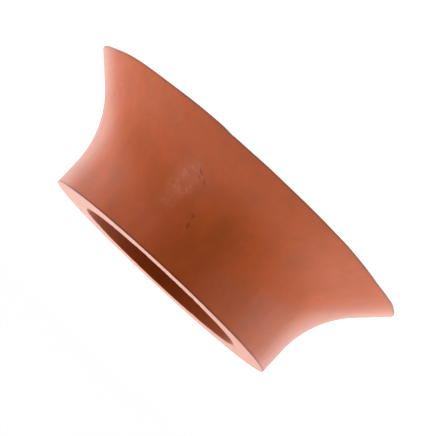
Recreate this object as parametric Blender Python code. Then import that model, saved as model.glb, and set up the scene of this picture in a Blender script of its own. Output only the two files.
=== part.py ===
"""Flared rubber pipe seal: one moulded ring with a straight bore, a short thick neck and a flared lip.

Metres, +Z up. The ring stands on the flat face of its wide end, with that face's centre at the origin.
+Z is the ring's axis, from the wide end towards the neck.
"""

import math

import bmesh
import bpy
from mathutils import Vector

# Driving dimensions, in metres and degrees
HEIGHT = 0.0392  # from the wide end's face to the small end's face
RIM_RADIUS = 0.0598  # sharp edge of the lip, the widest part of the ring
NECK_RADIUS = 0.0421  # outside of the straight neck
BORE_RADIUS = 0.030  # straight bore, which grips a 60.3 mm pipe
FLARE_ANGLE = 45.5  # how far the lip's flanks lean out from the axis
FLARE_SWEEP = 0.0321  # radius of the hollow curve from the neck into the lip
LIP_LAND = 0.0063  # width of the flat face between the rim and the mouth
MOUTH_SHOULDER = 0.0117  # radius of the swelling curve from the inside of the lip into the bore

# Fineness of the solid
SEGMENTS = 96  # around the axis
SWEEP_STEPS = 10
SHOULDER_STEPS = 5
LEG_SHARE = 0.96  # the most of either leg that a rounded corner may use up

RED_RUBBER = (0.40, 0.105, 0.055, 1.0)
RUBBER_ROUGHNESS = 0.55
SHARP_EDGE = 30.0  # degrees between faces, past which an edge is shaded sharp


def clear_scene():
    for obj in list(bpy.data.objects):
        bpy.data.objects.remove(obj, do_unlink=True)


def rubber():
    material = bpy.data.materials.new("red_rubber")
    material.use_nodes = True
    shader = material.node_tree.nodes["Principled BSDF"]
    shader.inputs["Base Color"].default_value = RED_RUBBER
    shader.inputs["Roughness"].default_value = RUBBER_ROUGHNESS
    shader.inputs["Metallic"].default_value = 0.0
    return material


def rounded_corner(before, corner, after, radius, steps):
    """The arc that touches both legs of a corner. Its radius gives way where a leg is too short."""
    first, second = before - corner, after - corner
    half = first.angle(second) / 2
    reach = min(
        radius / math.tan(half), LEG_SHARE * first.length, LEG_SHARE * second.length
    )
    first.normalize()
    second.normalize()
    centre = corner + (first + second).normalized() * (reach / math.cos(half))
    start = corner + first * reach - centre
    end = corner + second * reach - centre
    turn = math.pi - 2 * half
    return [
        centre
        + (start * math.sin(turn * (1 - t)) + end * math.sin(turn * t)) / math.sin(turn)
        for t in (step / steps for step in range(steps + 1))
    ]


def ring_profile():
    """The closed outline of one side of the ring as (radius, height), down the outside and up the inside."""
    lean = math.tan(math.radians(FLARE_ANGLE))
    mouth_radius = RIM_RADIUS - LIP_LAND

    neck_top = Vector((NECK_RADIUS, HEIGHT))
    neck_foot = Vector((NECK_RADIUS, (RIM_RADIUS - NECK_RADIUS) / lean))
    rim = Vector((RIM_RADIUS, 0.0))
    mouth = Vector((mouth_radius, 0.0))
    bore_foot = Vector((BORE_RADIUS, (mouth_radius - BORE_RADIUS) / lean))
    bore_top = Vector((BORE_RADIUS, HEIGHT))

    sweep = rounded_corner(neck_top, neck_foot, rim, FLARE_SWEEP, SWEEP_STEPS)
    shoulder = rounded_corner(
        mouth, bore_foot, bore_top, MOUTH_SHOULDER, SHOULDER_STEPS
    )
    return [neck_top, *sweep, rim, mouth, *shoulder, bore_top]


def turned_ring(name, profile):
    """Spins a closed outline once round the Z axis into one closed body."""
    bm = bmesh.new()
    corners = [bm.verts.new((radius, 0.0, height)) for radius, height in profile]
    edges = [
        bm.edges.new((corner, corners[(i + 1) % len(corners)]))
        for i, corner in enumerate(corners)
    ]
    bmesh.ops.spin(
        bm,
        geom=corners + edges,
        cent=(0.0, 0.0, 0.0),
        axis=(0.0, 0.0, 1.0),
        angle=2 * math.pi,
        steps=SEGMENTS,
        use_merge=True,
    )
    bmesh.ops.recalc_face_normals(bm, faces=bm.faces)

    mesh = bpy.data.meshes.new(name)
    bm.to_mesh(mesh)
    bm.free()
    mesh.shade_smooth()
    mesh.set_sharp_from_angle(angle=math.radians(SHARP_EDGE))
    ring = bpy.data.objects.new(name, mesh)
    bpy.context.scene.collection.objects.link(ring)
    return ring


def main():
    clear_scene()
    ring = turned_ring("seal_ring", ring_profile())
    ring.data.materials.append(rubber())


main()
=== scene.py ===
"""The looks of a flared rubber pipe seal: the turned ring in fine mesh, its rubber, a floor and soft light.

Metres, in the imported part's own frame: the ring stands on its wide end, centred on the Z axis.
"""

import math

import bpy
import numpy as np
from mathutils import Matrix, Vector


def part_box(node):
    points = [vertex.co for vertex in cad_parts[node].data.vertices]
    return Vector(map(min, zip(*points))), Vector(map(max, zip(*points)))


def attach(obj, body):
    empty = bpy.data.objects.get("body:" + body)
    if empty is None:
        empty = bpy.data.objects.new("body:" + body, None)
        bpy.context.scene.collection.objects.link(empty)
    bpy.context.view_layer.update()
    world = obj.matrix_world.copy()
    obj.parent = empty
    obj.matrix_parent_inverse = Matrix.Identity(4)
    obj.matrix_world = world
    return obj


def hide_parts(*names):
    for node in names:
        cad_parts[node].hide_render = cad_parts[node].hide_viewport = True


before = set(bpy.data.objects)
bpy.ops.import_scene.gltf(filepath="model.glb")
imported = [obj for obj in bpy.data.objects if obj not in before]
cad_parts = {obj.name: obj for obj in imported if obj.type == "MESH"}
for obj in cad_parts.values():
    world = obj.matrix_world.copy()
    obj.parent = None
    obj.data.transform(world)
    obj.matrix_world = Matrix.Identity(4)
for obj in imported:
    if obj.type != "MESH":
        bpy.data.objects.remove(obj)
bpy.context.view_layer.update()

RING = "seal_ring"

# The camera: a long lens, low beside the ring, rolled far over
CAMERA_PLACE = (0.0, -0.666, 0.0827)
CAMERA_FALL = 5.90  # degrees that the view falls below level
CAMERA_TURN = 0.08  # degrees that the view turns to the left of +Y
CAMERA_ROLL = 137.1  # degrees, clockwise as seen from behind the camera
LENS_MM = 182.0
SENSOR_MM = 36.0

# The ring's curves, as in the CAD part. Its radii and height come from the CAD node.
FLARE_ANGLE = 45.5
FLARE_SWEEP = 0.0321
MOUTH_SHOULDER = 0.0117
EDGE_ROUND = 0.0002  # the turned edges are broken by this radius
RIM_ROUND = 0.00006
STEPS_AROUND = 900
CORNER_STEPS = [4, 24, 4, 3, 9, 4]  # pieces in each rounded corner: neck, sweep, rim, mouth, shoulder, bore
RUN_STEPS = [6, 12, 9, 7, 10, 12]  # pieces in the straight run after each corner
END_SHARE = 0.001  # of the height, within which a CAD point belongs to an end face

# Where the lip's sharp edge was trimmed short: angle round the axis, half width (degrees), depth (metres)
RIM_TRIM = 0.00017
RIM_TRIM_REACH = 0.006  # how far from the edge the trimming still moves the surface
RIM_DENTS = [
    (26, 7, 0.00020), (58, 14, 0.00032), (97, 6, 0.00018), (131, 11, 0.00028), (160, 7, 0.00012),
    (202, 3, -0.00026), (218, 8, 0.00034), (237, 4, -0.00012), (264, 13, 0.00026), (277, 6, 0.00030),
    (282, 2, 0.00022), (307, 9, 0.00020), (338, 8, 0.00032), (2, 14, -0.00016),
]

# Nicks in the bore's edge at the small end, where the moulding skin was torn off
BORE_NICK_REACH = 0.0014
BORE_NICKS = [
    (291, 0.9, 0.00045), (288, 2.4, 0.00012), (284, 0.6, 0.00015), (248.5, 1.0, 0.00040),
    (243, 0.6, 0.00012), (262, 0.7, 0.00010), (178, 1.6, 0.00060), (312, 1.2, 0.00012),
    (35, 1.0, 0.00018), (74, 0.7, 0.00015), (121, 1.3, 0.00020), (226, 0.8, 0.00010),
]

# The rubber's colours and gloss
BROWN_RUBBER = (0.455, 0.077, 0.003, 1)
PINK_RUBBER = (0.520, 0.080, 0.012, 1)
# Pale bloom, also used for the painted sheen on the flare at both sides
BLOOM_AND_SHEEN = (0.68, 0.26, 0.17, 1)
# Pale dust on the small end's face, which also stands in for brighter sheen there (painted sheen)
FACE_DUST_AND_SHEEN = (0.60, 0.30, 0.20, 1)
# Dark grime for the scuffs, also the colour of the painted shade lines along the turned edges
GRIME_AND_EDGE_SHADE = (0.09, 0.020, 0.001, 1)
ROUGHNESS = 0.6
BLOOM_AND_SHEEN_ROUGHNESS, FACE_ROUGHNESS = 0.12, 0.25  # added to it where there is bloom and painted sheen, and on the small end's face
IOR = 1.4
SHEEN_WEIGHT, SHEEN_ROUGHNESS = 0.4, 0.35
COAT_WEIGHT, COAT_ROUGHNESS, COAT_IOR = 0.2, 0.25, 1.25

# Clouds in the rubber: size (millimetres), detail, share of the tone, relief (millimetres)
BLOTS = (9, 3, 0.07, 0.030)
MOTTLE = (2.4, 3, 0.08, 0.012)
FLOW = (3.2, 4, 0.09, 0.010)
GRAIN = (0.4, 2, 0.05, 0.004)
FLOW_STRETCH = (1, 1, 0.25)  # the flow marks run along the axis
SCUFF_AND_EDGE_RELIEF = -0.05  # millimetres
BUMP_STRENGTH = 0.9

# The small end's face: how far below it its look fades (millimetres), how much lighter it is painted
# (painted light on the top face), and its dust, which also paints brighter sheen towards +X
FACE_FADE_FROM, FACE_FADE_TO = 0.2, 0.05
FACE_PAINTED_LIGHT = 0.06
DUST_AND_SHEEN_SPAN = 45.0  # millimetres each way from the axis, over which the dust and its painted sheen thicken towards +X
DUST_AND_SHEEN_THIN, DUST_AND_SHEEN_THICK = 0.03, 0.42

# Painted shade at the two turned edges, as thin dark lines: way down to the neck's edge, reach from each
# edge (millimetres), strengths
NECK_EDGE_DOWN = 0.3
NECK_EDGE_SHADE_REACH, NECK_EDGE_SHADE = 0.5, 0.65
RIM_EDGE_SHADE_REACH, RIM_EDGE_SHADE = 1.0, 0.55

# The rubber's marks: angle round the axis (degrees), way down from the small end's edge, half length and
# half width (millimetres), lean from the way down (degrees), strength. The map ends at 0 degrees, so a
# patch that crosses it has a row on each side.
AROUND_DOWN = "around_down"
MARK_RADIUS = 46.0  # millimetres, turns a mark's angle into a distance
RAGGED = 1.2  # millimetres that a mark's edge wanders
DULL_STAINS = [
    (315, 18, 11, 9, 0, 0.07), (262, 19, 9, 9, 0, 0.09), (230, 10, 8, 7, 0, 0.04),
    (30, 15, 9, 12, 20, 0.06), (80, 24, 12, 9, 0, 0.07), (138, 12, 8, 10, 0, 0.06),
]
PINK_STAINS = [
    (318, 6.5, 6, 6, 0, 0.5), (329, 14, 8, 6, 0, 0.4), (333, 30, 8, 5, 0, 0.3), (286, 8, 8, 6, 0, 0.35),
    (214, 26, 9, 7, 0, 0.3), (60, 9, 8, 9, 0, 0.4), (110, 30, 9, 8, 0, 0.35), (160, 12, 9, 8, 0, 0.4),
]
BLOOM_AND_SHEEN_PATCHES = [
    (287.5, 22, 12, 5.5, 5, 0.22), (286.5, 25, 6.5, 3, -5, 0.16), (288.5, 17, 7, 4.5, 15, 0.12),
    (318, 6.5, 3.5, 3.5, 0, 0.03), (329, 15, 4, 2.0, 10, 0.06), (75, 14, 8, 4, 8, 0.14),
    # The rows at 352, -8 and 187 degrees, on the flare at both sides, are painted sheen
    (133, 31, 6, 3, -20, 0.12), (352, 38, 13, 16, 0, 0.30), (-8, 38, 13, 16, 0, 0.30),
    (187, 38, 13, 14, 0, 0.26),
]
PALE_SCRATCHES = [
    (288, 27.5, 2, 0.4, 15, 0.26), (289, 20.5, 2.5, 0.5, 10, 0.18), (283, 27, 2, 0.4, -50, 0.22),
    (285.5, 29, 1.5, 0.4, -40, 0.26), (335.5, 31, 2.5, 0.4, 25, 0.20), (332.5, 35, 1.5, 0.4, 35, 0.16),
    (256.5, 20.5, 0.3, 1.5, 0, 0.14), (220, 38.5, 0.3, 1.3, 35, 0.14), (214.5, 26.5, 0.3, 2.2, 10, 0.14),
    (267, 31.5, 0.4, 2.4, 15, 0.10), (92, 20, 2.0, 0.4, 15, 0.16), (150, 26, 0.4, 2.0, 20, 0.14),
    (48, 33, 1.6, 0.4, -25, 0.15),
]
DARK_SCUFFS = [
    (284, 28, 2, 0.6, -50, 0.52), (281, 26, 1.5, 0.6, -55, 0.46), (284, 26.5, 1.5, 0.5, -65, 0.34),
    (284.5, 31.5, 2, 0.4, -30, 0.20), (276.5, 16.5, 1, 0.6, -25, 0.55), (275.5, 13.5, 1.5, 0.7, -20, 0.50),
    (274, 24.5, 1, 0.4, 0, 0.20), (323, 6.5, 1, 0.7, 0, 0.22), (320, 5.5, 0.5, 1.3, 15, 0.12),
    (334, 31.5, 3, 0.5, 25, 0.20), (337, 30.5, 2, 0.5, 25, 0.18), (251.5, 19.5, 0.5, 1.6, -30, 0.16),
    (257, 19.5, 0.35, 1.2, 0, 0.14), (221, 39, 0.35, 1.2, 35, 0.16), (215, 26, 0.4, 2.4, 10, 0.12),
    (40, 22, 1.8, 0.5, 20, 0.25), (101, 27, 0.5, 1.6, 0, 0.22), (147, 16, 1.4, 0.5, -30, 0.28),
]

# Soft panels: name, degrees round from +X, degrees above level, distance, width, height (metres), watts
LIGHT_AIM = (0.0, 0.0, 0.02)
ROOM_LIGHT = 0.0
PANELS = [
    ("top_panel", 90, 88, 1.4, 1.2, 1.2, 8),
    ("back_wall", 90, 0, 1.5, 1.5, 0.6, 5.5),
    ("back_high", 90, 48, 1.5, 1.6, 0.8, 18),
    ("back_right", 45, 0, 1.5, 0.8, 0.8, 9),
    ("back_left", 135, 0, 1.5, 0.8, 0.8, 8),
    ("side_right", 2, -4, 1.5, 1.0, 0.9, 13.5),
    ("side_left", 178, -4, 1.5, 1.0, 0.9, 13.5),
    ("side_right_high", 10, 45, 1.5, 1.2, 0.8, 3.5),
    ("side_left_high", 170, 45, 1.5, 1.2, 0.8, 9),
    ("front_right", 315, -12, 1.5, 0.9, 0.7, 5.5),
    ("front_left", 225, -12, 1.5, 0.9, 0.7, 4.5),
    ("front_high", 315, 50, 1.5, 0.9, 0.7, 5.5),
]
SWEEP_FLAT, SWEEP_CURVE, SWEEP_HEIGHT = 4.0, 3.0, 5.0  # metres
SWEEP_HOLE = 0.01  # radius of the disc's middle face, in metres
SWEEP_AROUND, SWEEP_LEVEL_RINGS, SWEEP_RISING_RINGS = 96, 12, 24
SWEEP_DROP = 0.0001  # metres that the floor lies below the ring's face, so that the two never coincide
SWEEP_GLOW, SWEEP_PALENESS = 0.99, 0.2


def cad_sizes(node):
    """The rim, neck, bore and mouth radii and the height, read from the CAD node's end faces."""
    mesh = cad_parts[node].data
    points = np.empty(len(mesh.vertices) * 3)
    mesh.vertices.foreach_get("co", points)
    points = points.reshape(-1, 3)
    radius = np.hypot(points[:, 0], points[:, 1])
    height = points[:, 2].max()
    top = radius[points[:, 2] > (1 - END_SHARE) * height]
    base = radius[points[:, 2] < END_SHARE * height]
    return base.max(), top.max(), top.min(), base.min(), height


def straight(start, end, steps):
    """Points on a line, closer together near its ends: a half cosine wave of the share of the way along."""
    share = (1 - np.cos(np.linspace(0, np.pi, steps + 1))) / 2
    return start + share[:, None] * (end - start)


def rounded(before, corner, after, radius, steps):
    """The arc that touches both legs of a corner: its centre plus the radius times a turning unit vector."""
    first = (before - corner) / np.linalg.norm(before - corner)
    second = (after - corner) / np.linalg.norm(after - corner)
    half = np.arccos(first @ second) / 2
    middle = (first + second) / np.linalg.norm(first + second)
    centre = corner + middle * radius / np.sin(half)
    start = (corner + first * radius / np.tan(half) - centre) / radius
    end = (corner + second * radius / np.tan(half) - centre) / radius
    turn = np.pi - 2 * half
    t = np.linspace(0, 1, steps + 1)[:, None]
    return centre + radius * (start * np.sin(turn * (1 - t)) + end * np.sin(turn * t)) / np.sin(turn)


def ring_outline(rim, neck, bore, mouth, height):
    """The closed outline (radius, height) of one side: down the neck, sweep and lip, and up the inside."""
    lean = math.tan(math.radians(FLARE_ANGLE))
    neck_top = np.array([neck, height])
    neck_foot = np.array([neck, (rim - neck) / lean])
    rim_edge = np.array([rim, 0.0])
    mouth_edge = np.array([mouth, 0.0])
    bore_foot = np.array([bore, (mouth - bore) / lean])
    bore_top = np.array([bore, height])
    corners = [
        (neck_top, EDGE_ROUND),
        (neck_foot, FLARE_SWEEP),
        (rim_edge, RIM_ROUND),
        (mouth_edge, EDGE_ROUND),
        (bore_foot, MOUTH_SHOULDER),
        (bore_top, EDGE_ROUND),
    ]
    arcs = []
    for i, (corner, radius) in enumerate(corners):
        before, after = corners[i - 1][0], corners[(i + 1) % len(corners)][0]
        arcs.append(rounded(before, corner, after, radius, CORNER_STEPS[i]))
    outline = []
    for i, arc in enumerate(arcs):
        following = arcs[(i + 1) % len(arcs)]
        outline += [arc, straight(arc[-1], following[0], RUN_STEPS[i])[1:-1]]
    return np.concatenate(outline)


def bells(angle, dents):
    """The sum, at each angle, of bell curves: depth times exp(-(gap / half width) squared).

    The gap is the angle from the middle of the dent, the short way round.
    """
    middle, half_width, depth = np.array(dents).T[:, :, None]
    gap = (np.degrees(angle) - middle + 180) % 360 - 180
    return (depth * np.exp(-((gap / half_width) ** 2))).sum(axis=0)


def nearness(outline, corner, reach):
    """For each outline point, 1 at the corner falling evenly to 0 at the reach: 1 - distance / reach."""
    distance = np.hypot(outline[:, 0] - corner[0], outline[:, 1] - corner[1])
    return np.clip(1 - distance / reach, 0, 1)[:, None]


def ring_surface(name):
    """The whole ring: each outline point (radius, height) carried round the Z axis by the angle.

    Near the rim a point slides back along the lip's flank by the trimmed depth at its angle, times its
    nearness to the rim. Near the bore's top edge it drops by the nick's depth times its nearness squared.
    """
    rim, neck, bore, mouth, height = cad_sizes(RING)
    outline = ring_outline(rim, neck, bore, mouth, height)
    angle = np.linspace(0, 2 * np.pi, STEPS_AROUND, endpoint=False)
    lean = math.radians(FLARE_ANGLE)
    near_rim = nearness(outline, (rim, 0.0), RIM_TRIM_REACH)
    near_bore_top = nearness(outline, (bore, height), BORE_NICK_REACH)
    trimmed = np.clip(RIM_TRIM + bells(angle, RIM_DENTS), 0, None) * near_rim
    nicked = bells(angle, BORE_NICKS) * near_bore_top**2
    radii = outline[:, 0][:, None] - trimmed * math.sin(lean)
    heights = outline[:, 1][:, None] + trimmed * math.cos(lean) - nicked
    points = np.stack([radii * np.cos(angle), radii * np.sin(angle), heights], axis=-1)
    steps = np.linalg.norm(np.roll(outline, -1, axis=0) - outline, axis=1)
    down = np.concatenate([[0], np.cumsum(steps)])
    at_rim = np.hypot(outline[:, 0] - rim, outline[:, 1]).argmin()
    around = np.linspace(0, 1, STEPS_AROUND + 1)
    return closed_grid(name, points, around, down / down[-1]), 1000 * down[-1], 1000 * down[at_rim]


def closed_grid(name, points, around, down):
    """A mesh from a grid of points that closes on itself in both directions, with quads facing outwards.

    Its UV map holds each corner's share of the way around the axis and of the way down along the outline.
    """
    rows, columns = points.shape[:2]
    index = np.arange(rows * columns).reshape(rows, columns)
    below, beside = np.roll(index, -1, axis=0), np.roll(index, -1, axis=1)
    across = np.roll(below, -1, axis=1)
    quads = np.stack([index, below, across, beside], axis=-1).reshape(-1, 4)
    mesh = bpy.data.meshes.new(name)
    mesh.from_pydata(points.reshape(-1, 3), [], quads)
    u, v = np.meshgrid(around, down)
    shares = np.stack([u, v], axis=-1)
    corners = np.stack([shares[:-1, :-1], shares[1:, :-1], shares[1:, 1:], shares[:-1, 1:]], axis=2)
    mesh.uv_layers.new(name=AROUND_DOWN).data.foreach_set("uv", corners.ravel())
    mesh.shade_smooth()
    obj = bpy.data.objects.new(name, mesh)
    bpy.context.scene.collection.objects.link(obj)
    return obj


def make_camera():
    """Looks from its place along a falling line, then rolls about that line."""
    fall, turn, roll = (math.radians(a) for a in (CAMERA_FALL, CAMERA_TURN, CAMERA_ROLL))
    forward = Vector((-math.sin(turn) * math.cos(fall), math.cos(turn) * math.cos(fall), -math.sin(fall)))
    level = forward.cross(Vector((0, 0, 1))).normalized()
    upright = level.cross(forward)
    up = level * math.sin(roll) + upright * math.cos(roll)
    right = forward.cross(up)
    turned = Matrix((right, up, -forward)).transposed().to_4x4()
    data = bpy.data.cameras.new("camera")
    data.lens, data.sensor_width = LENS_MM, SENSOR_MM
    data.clip_start, data.clip_end = 0.01, 100.0
    camera = bpy.data.objects.new("camera", data)
    camera.matrix_world = Matrix.Translation(CAMERA_PLACE) @ turned
    bpy.context.scene.collection.objects.link(camera)
    bpy.context.scene.camera = camera


def node(tree, kind, inputs, **settings):
    """A shader node with these settings, each input set to a value or linked to another node's output."""
    made = tree.nodes.new(kind)
    for name, value in settings.items():
        setattr(made, name, value)
    for key, value in inputs.items():
        if isinstance(value, bpy.types.NodeSocket):
            tree.links.new(value, made.inputs[key])
        else:
            made.inputs[key].default_value = value
    return made


def maths(tree, operation, *values):
    return node(tree, "ShaderNodeMath", dict(enumerate(values)), operation=operation).outputs[0]


def blend(tree, share, first, second):
    return node(tree, "ShaderNodeMix", {0: share, 6: first, 7: second}, data_type="RGBA").outputs[2]


def ease(tree, value, low, high, at_low, at_high):
    """A smooth step: at_low up to low, at_high from high on, and an S curve between."""
    inputs = {0: value, 1: low, 2: high, 3: at_low, 4: at_high}
    return node(tree, "ShaderNodeMapRange", inputs, interpolation_type="SMOOTHSTEP").outputs[0]


def clouds(tree, place, size, detail):
    """Cloudy noise from 0 to 1 with blots of about this size in millimetres."""
    inputs = {"Vector": place, "Scale": 1 / size, "Detail": detail, "Roughness": 0.55}
    noise = node(tree, "ShaderNodeTexNoise", inputs).outputs[0]
    return ease(tree, noise, 0.28, 0.72, 0.0, 1.0)


def marks(tree, spread, rows):
    """How far a set of marks covers the surface: soft ovals, strongest within a quarter of their size."""
    cover = 0.0
    for angle, down, half_length, half_width, lean, strength in rows:
        inputs = {
            "Vector": spread,
            "Location": (math.radians(angle) * MARK_RADIUS, down, 0),
            "Rotation": (0, 0, math.radians(lean)),
            "Scale": (half_width, half_length, 1),
        }
        turned = node(tree, "ShaderNodeMapping", inputs, vector_type="TEXTURE").outputs[0]
        distance = node(tree, "ShaderNodeVectorMath", {0: turned}, operation="LENGTH").outputs["Value"]
        oval = ease(tree, distance, 0.25, 1.0, strength, 0.0)
        cover = maths(tree, "MAXIMUM", cover, oval)
    return cover


def rubber(length, rim_down):
    """Red rubber: cloudy brown and pink, a fine grain, pale bloom with painted sheen on the flare at both
    sides, dark scuffs, a face painted lighter and dustier, and thin painted shade lines along the turned
    edges.
    """
    material = bpy.data.materials.new("red_rubber")
    material.use_nodes = True
    tree = material.node_tree
    shader = tree.nodes["Principled BSDF"]
    metres = node(tree, "ShaderNodeTexCoord", {}).outputs["Object"]
    place = node(tree, "ShaderNodeVectorMath", {0: metres, "Scale": 1000}, operation="SCALE").outputs[0]
    along = node(tree, "ShaderNodeVectorMath", {0: place, 1: FLOW_STRETCH}, operation="MULTIPLY").outputs[0]
    shares = node(tree, "ShaderNodeUVMap", {}, uv_map=AROUND_DOWN).outputs[0]
    sizes = (2 * math.pi * MARK_RADIUS, length, 0)
    flat = node(tree, "ShaderNodeVectorMath", {0: shares, 1: sizes}, operation="MULTIPLY").outputs[0]
    ragged = node(tree, "ShaderNodeTexNoise", {"Vector": place, "Scale": 0.9, "Detail": 3}).outputs[1]
    centring = {0: ragged, 1: (-0.5, -0.5, -0.5)}
    pushed = node(tree, "ShaderNodeVectorMath", centring, operation="ADD").outputs[0]
    push = {0: pushed, 1: (RAGGED, RAGGED, 0), 2: flat}
    spread = node(tree, "ShaderNodeVectorMath", push, operation="MULTIPLY_ADD").outputs[0]

    broad = clouds(tree, place, 34, 2)
    blots = clouds(tree, place, *BLOTS[:2])
    mottle = clouds(tree, place, *MOTTLE[:2])
    flow = clouds(tree, along, *FLOW[:2])
    grain = clouds(tree, place, *GRAIN[:2])
    fleck = clouds(tree, place, 0.9, 3)
    layers = ((blots, BLOTS), (mottle, MOTTLE), (flow, FLOW), (grain, GRAIN))

    # Tone: 1 on average, darker and lighter with each size of cloud and under the broad stains
    tone = 1 - sum(cloud[2] for _, cloud in layers) / 2
    for noise, (_, _, share, _) in layers:
        tone = maths(tree, "MULTIPLY_ADD", noise, share, tone)
    tone = maths(tree, "SUBTRACT", tone, marks(tree, spread, DULL_STAINS))
    across, _, height = node(tree, "ShaderNodeSeparateXYZ", {0: place}).outputs
    # The small end's face is painted lighter: painted light on the top face
    top = 1000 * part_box(RING)[1][2]
    face = ease(tree, height, top - FACE_FADE_FROM, top - FACE_FADE_TO, 0.0, 1.0)
    tone = maths(tree, "MULTIPLY_ADD", face, FACE_PAINTED_LIGHT, tone)
    pinkness = maths(tree, "MULTIPLY", maths(tree, "ADD", broad, blots), 0.3)
    pinkness = maths(tree, "ADD", pinkness, marks(tree, spread, PINK_STAINS))
    colour = blend(tree, pinkness, BROWN_RUBBER, PINK_RUBBER)
    colour = node(tree, "ShaderNodeVectorMath", {0: colour, "Scale": tone}, operation="SCALE").outputs[0]

    # Pale bloom: cloudy patches, with small flecks where it is thick; the large patches on the flare at both
    # sides are painted sheen
    thick_bloom_and_sheen = marks(tree, spread, BLOOM_AND_SHEEN_PATCHES)
    flecks = maths(tree, "MULTIPLY", ease(tree, fleck, 0.62, 0.95, 0.0, 1.0), thick_bloom_and_sheen)
    bloom_and_sheen = maths(tree, "MULTIPLY", thick_bloom_and_sheen, ease(tree, mottle, 0.1, 0.9, 0.55, 1.0))
    bloom_and_sheen = maths(tree, "MAXIMUM", maths(tree, "ADD", bloom_and_sheen, flecks), marks(tree, spread, PALE_SCRATCHES))
    colour = blend(tree, bloom_and_sheen, colour, BLOOM_AND_SHEEN)

    # The small end's face is dustier towards +X, where the dust also stands in for brighter sheen (partly
    # real dust, partly painted sheen), and the turned edges get thin lines of painted shade
    dust_and_sheen_thickness = ease(tree, across, -DUST_AND_SHEEN_SPAN, DUST_AND_SHEEN_SPAN, DUST_AND_SHEEN_THIN, DUST_AND_SHEEN_THICK)
    dust_and_sheen = maths(tree, "MULTIPLY", dust_and_sheen_thickness, ease(tree, mottle, 0.0, 1.0, 0.75, 1.0))
    colour = blend(tree, maths(tree, "MULTIPLY", face, dust_and_sheen), colour, FACE_DUST_AND_SHEEN)
    down = node(tree, "ShaderNodeSeparateXYZ", {0: flat}).outputs["Y"]
    scuffs_and_edge_shade = marks(tree, spread, DARK_SCUFFS)
    # The turned edges: thin dark lines of painted shade
    shaded_edges = ((NECK_EDGE_DOWN, NECK_EDGE_SHADE_REACH, NECK_EDGE_SHADE), (rim_down, RIM_EDGE_SHADE_REACH, RIM_EDGE_SHADE))
    for edge, reach, strength in shaded_edges:
        gap = maths(tree, "ABSOLUTE", maths(tree, "SUBTRACT", down, edge))
        scuffs_and_edge_shade = maths(tree, "MAXIMUM", scuffs_and_edge_shade, ease(tree, gap, 0.1, reach, strength, 0.0))
    colour = blend(tree, scuffs_and_edge_shade, colour, GRIME_AND_EDGE_SHADE)

    # Relief in millimetres: gentle unevenness, grain, and scuffs and the painted edge lines, which are
    # slightly sunk
    relief = maths(tree, "MULTIPLY", scuffs_and_edge_shade, SCUFF_AND_EDGE_RELIEF)
    for noise, (_, _, _, rise) in layers:
        relief = maths(tree, "MULTIPLY_ADD", noise, rise, relief)
    bumps = {"Height": relief, "Distance": 0.001, "Strength": BUMP_STRENGTH}
    bump = node(tree, "ShaderNodeBump", bumps).outputs[0]

    gloss = maths(tree, "MULTIPLY_ADD", mottle, 0.06, ROUGHNESS - 0.03)
    gloss = maths(tree, "MULTIPLY_ADD", bloom_and_sheen, BLOOM_AND_SHEEN_ROUGHNESS, gloss)
    gloss = maths(tree, "MULTIPLY_ADD", face, FACE_ROUGHNESS, gloss)
    tree.links.new(colour, shader.inputs["Base Color"])
    tree.links.new(gloss, shader.inputs["Roughness"])
    tree.links.new(bump, shader.inputs["Normal"])
    shader.inputs["IOR"].default_value = IOR
    shader.inputs["Sheen Weight"].default_value = SHEEN_WEIGHT
    shader.inputs["Sheen Roughness"].default_value = SHEEN_ROUGHNESS
    shader.inputs["Coat Weight"].default_value = COAT_WEIGHT
    shader.inputs["Coat Roughness"].default_value = COAT_ROUGHNESS
    shader.inputs["Coat IOR"].default_value = COAT_IOR
    return material


def sweep_paper():
    """White light-table paper: it shines by itself so strongly that no shade shows on it."""
    material = bpy.data.materials.new("sweep_paper")
    material.use_nodes = True
    shader = material.node_tree.nodes["Principled BSDF"]
    shader.inputs["Base Color"].default_value = (SWEEP_PALENESS, SWEEP_PALENESS, SWEEP_PALENESS, 1)
    shader.inputs["Roughness"].default_value = 0.9
    shader.inputs["Specular IOR Level"].default_value = 0.0
    shader.inputs["Emission Color"].default_value = (1, 1, 1, 1)
    shader.inputs["Emission Strength"].default_value = SWEEP_GLOW
    return material


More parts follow.
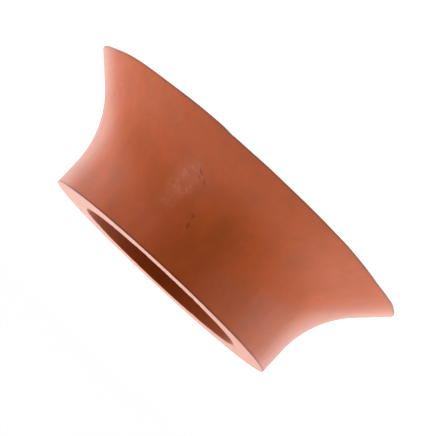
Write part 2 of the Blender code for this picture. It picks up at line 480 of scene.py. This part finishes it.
def make_floor():
    """A level disc whose outer part curves up as a quarter of an ellipse, so that no edge of it is seen."""
    out = np.linspace(SWEEP_HOLE, SWEEP_FLAT, SWEEP_LEVEL_RINGS)
    level = np.stack([out, np.zeros(SWEEP_LEVEL_RINGS)], axis=-1)
    t = np.linspace(0, np.pi / 2, SWEEP_RISING_RINGS + 1)[1:]
    rising = np.stack([SWEEP_FLAT + SWEEP_CURVE * np.sin(t), SWEEP_HEIGHT * (1 - np.cos(t))], axis=-1)
    profile = np.concatenate([level, rising])
    angle = np.linspace(0, 2 * np.pi, SWEEP_AROUND, endpoint=False)
    radius, height = profile[:, 0][:, None], profile[:, 1][:, None] + 0 * angle
    points = np.stack([radius * np.cos(angle), radius * np.sin(angle), height], axis=-1)
    points[..., 2] -= SWEEP_DROP
    rows, columns = points.shape[:2]
    index = np.arange(rows * columns).reshape(rows, columns)
    beside = np.roll(index, -1, axis=1)
    quads = np.stack([index[:-1], index[1:], beside[1:], beside[:-1]], axis=-1).reshape(-1, 4)
    faces = [list(index[0])] + quads.tolist()
    mesh = bpy.data.meshes.new("floor")
    mesh.from_pydata(points.reshape(-1, 3), [], faces)
    mesh.shade_smooth()
    mesh.materials.append(sweep_paper())
    floor = bpy.data.objects.new("floor", mesh)
    bpy.context.scene.collection.objects.link(floor)
    floor.visible_diffuse = False
    floor.visible_glossy = False
    floor.visible_shadow = False


def make_light():
    """Wide soft panels all round, each facing the ring, in a dark room."""
    for name, azimuth, elevation, distance, width, height, watts in PANELS:
        turn, rise = math.radians(azimuth), math.radians(elevation)
        toward = Vector((math.cos(turn) * math.cos(rise), math.sin(turn) * math.cos(rise), math.sin(rise)))
        data = bpy.data.lights.new(name, "AREA")
        data.shape = "RECTANGLE"
        data.size, data.size_y, data.energy = width, height, watts
        panel = bpy.data.objects.new(name, data)
        panel.location = Vector(LIGHT_AIM) + toward * distance
        panel.rotation_euler = toward.to_track_quat("Z", "Y").to_euler()
        panel.visible_camera = False
        bpy.context.scene.collection.objects.link(panel)
    world = bpy.data.worlds.new("studio")
    world.use_nodes = True
    world.node_tree.nodes["Background"].inputs["Color"].default_value = (1, 1, 1, 1)
    world.node_tree.nodes["Background"].inputs["Strength"].default_value = ROOM_LIGHT
    bpy.context.scene.world = world


bpy.context.scene.view_settings.view_transform = "Standard"
make_camera()
ring, ring_length, rim_down = ring_surface("rubber_ring")
ring.data.materials.append(rubber(ring_length, rim_down))
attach(ring, "root")
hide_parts(RING)
make_floor()
make_light()
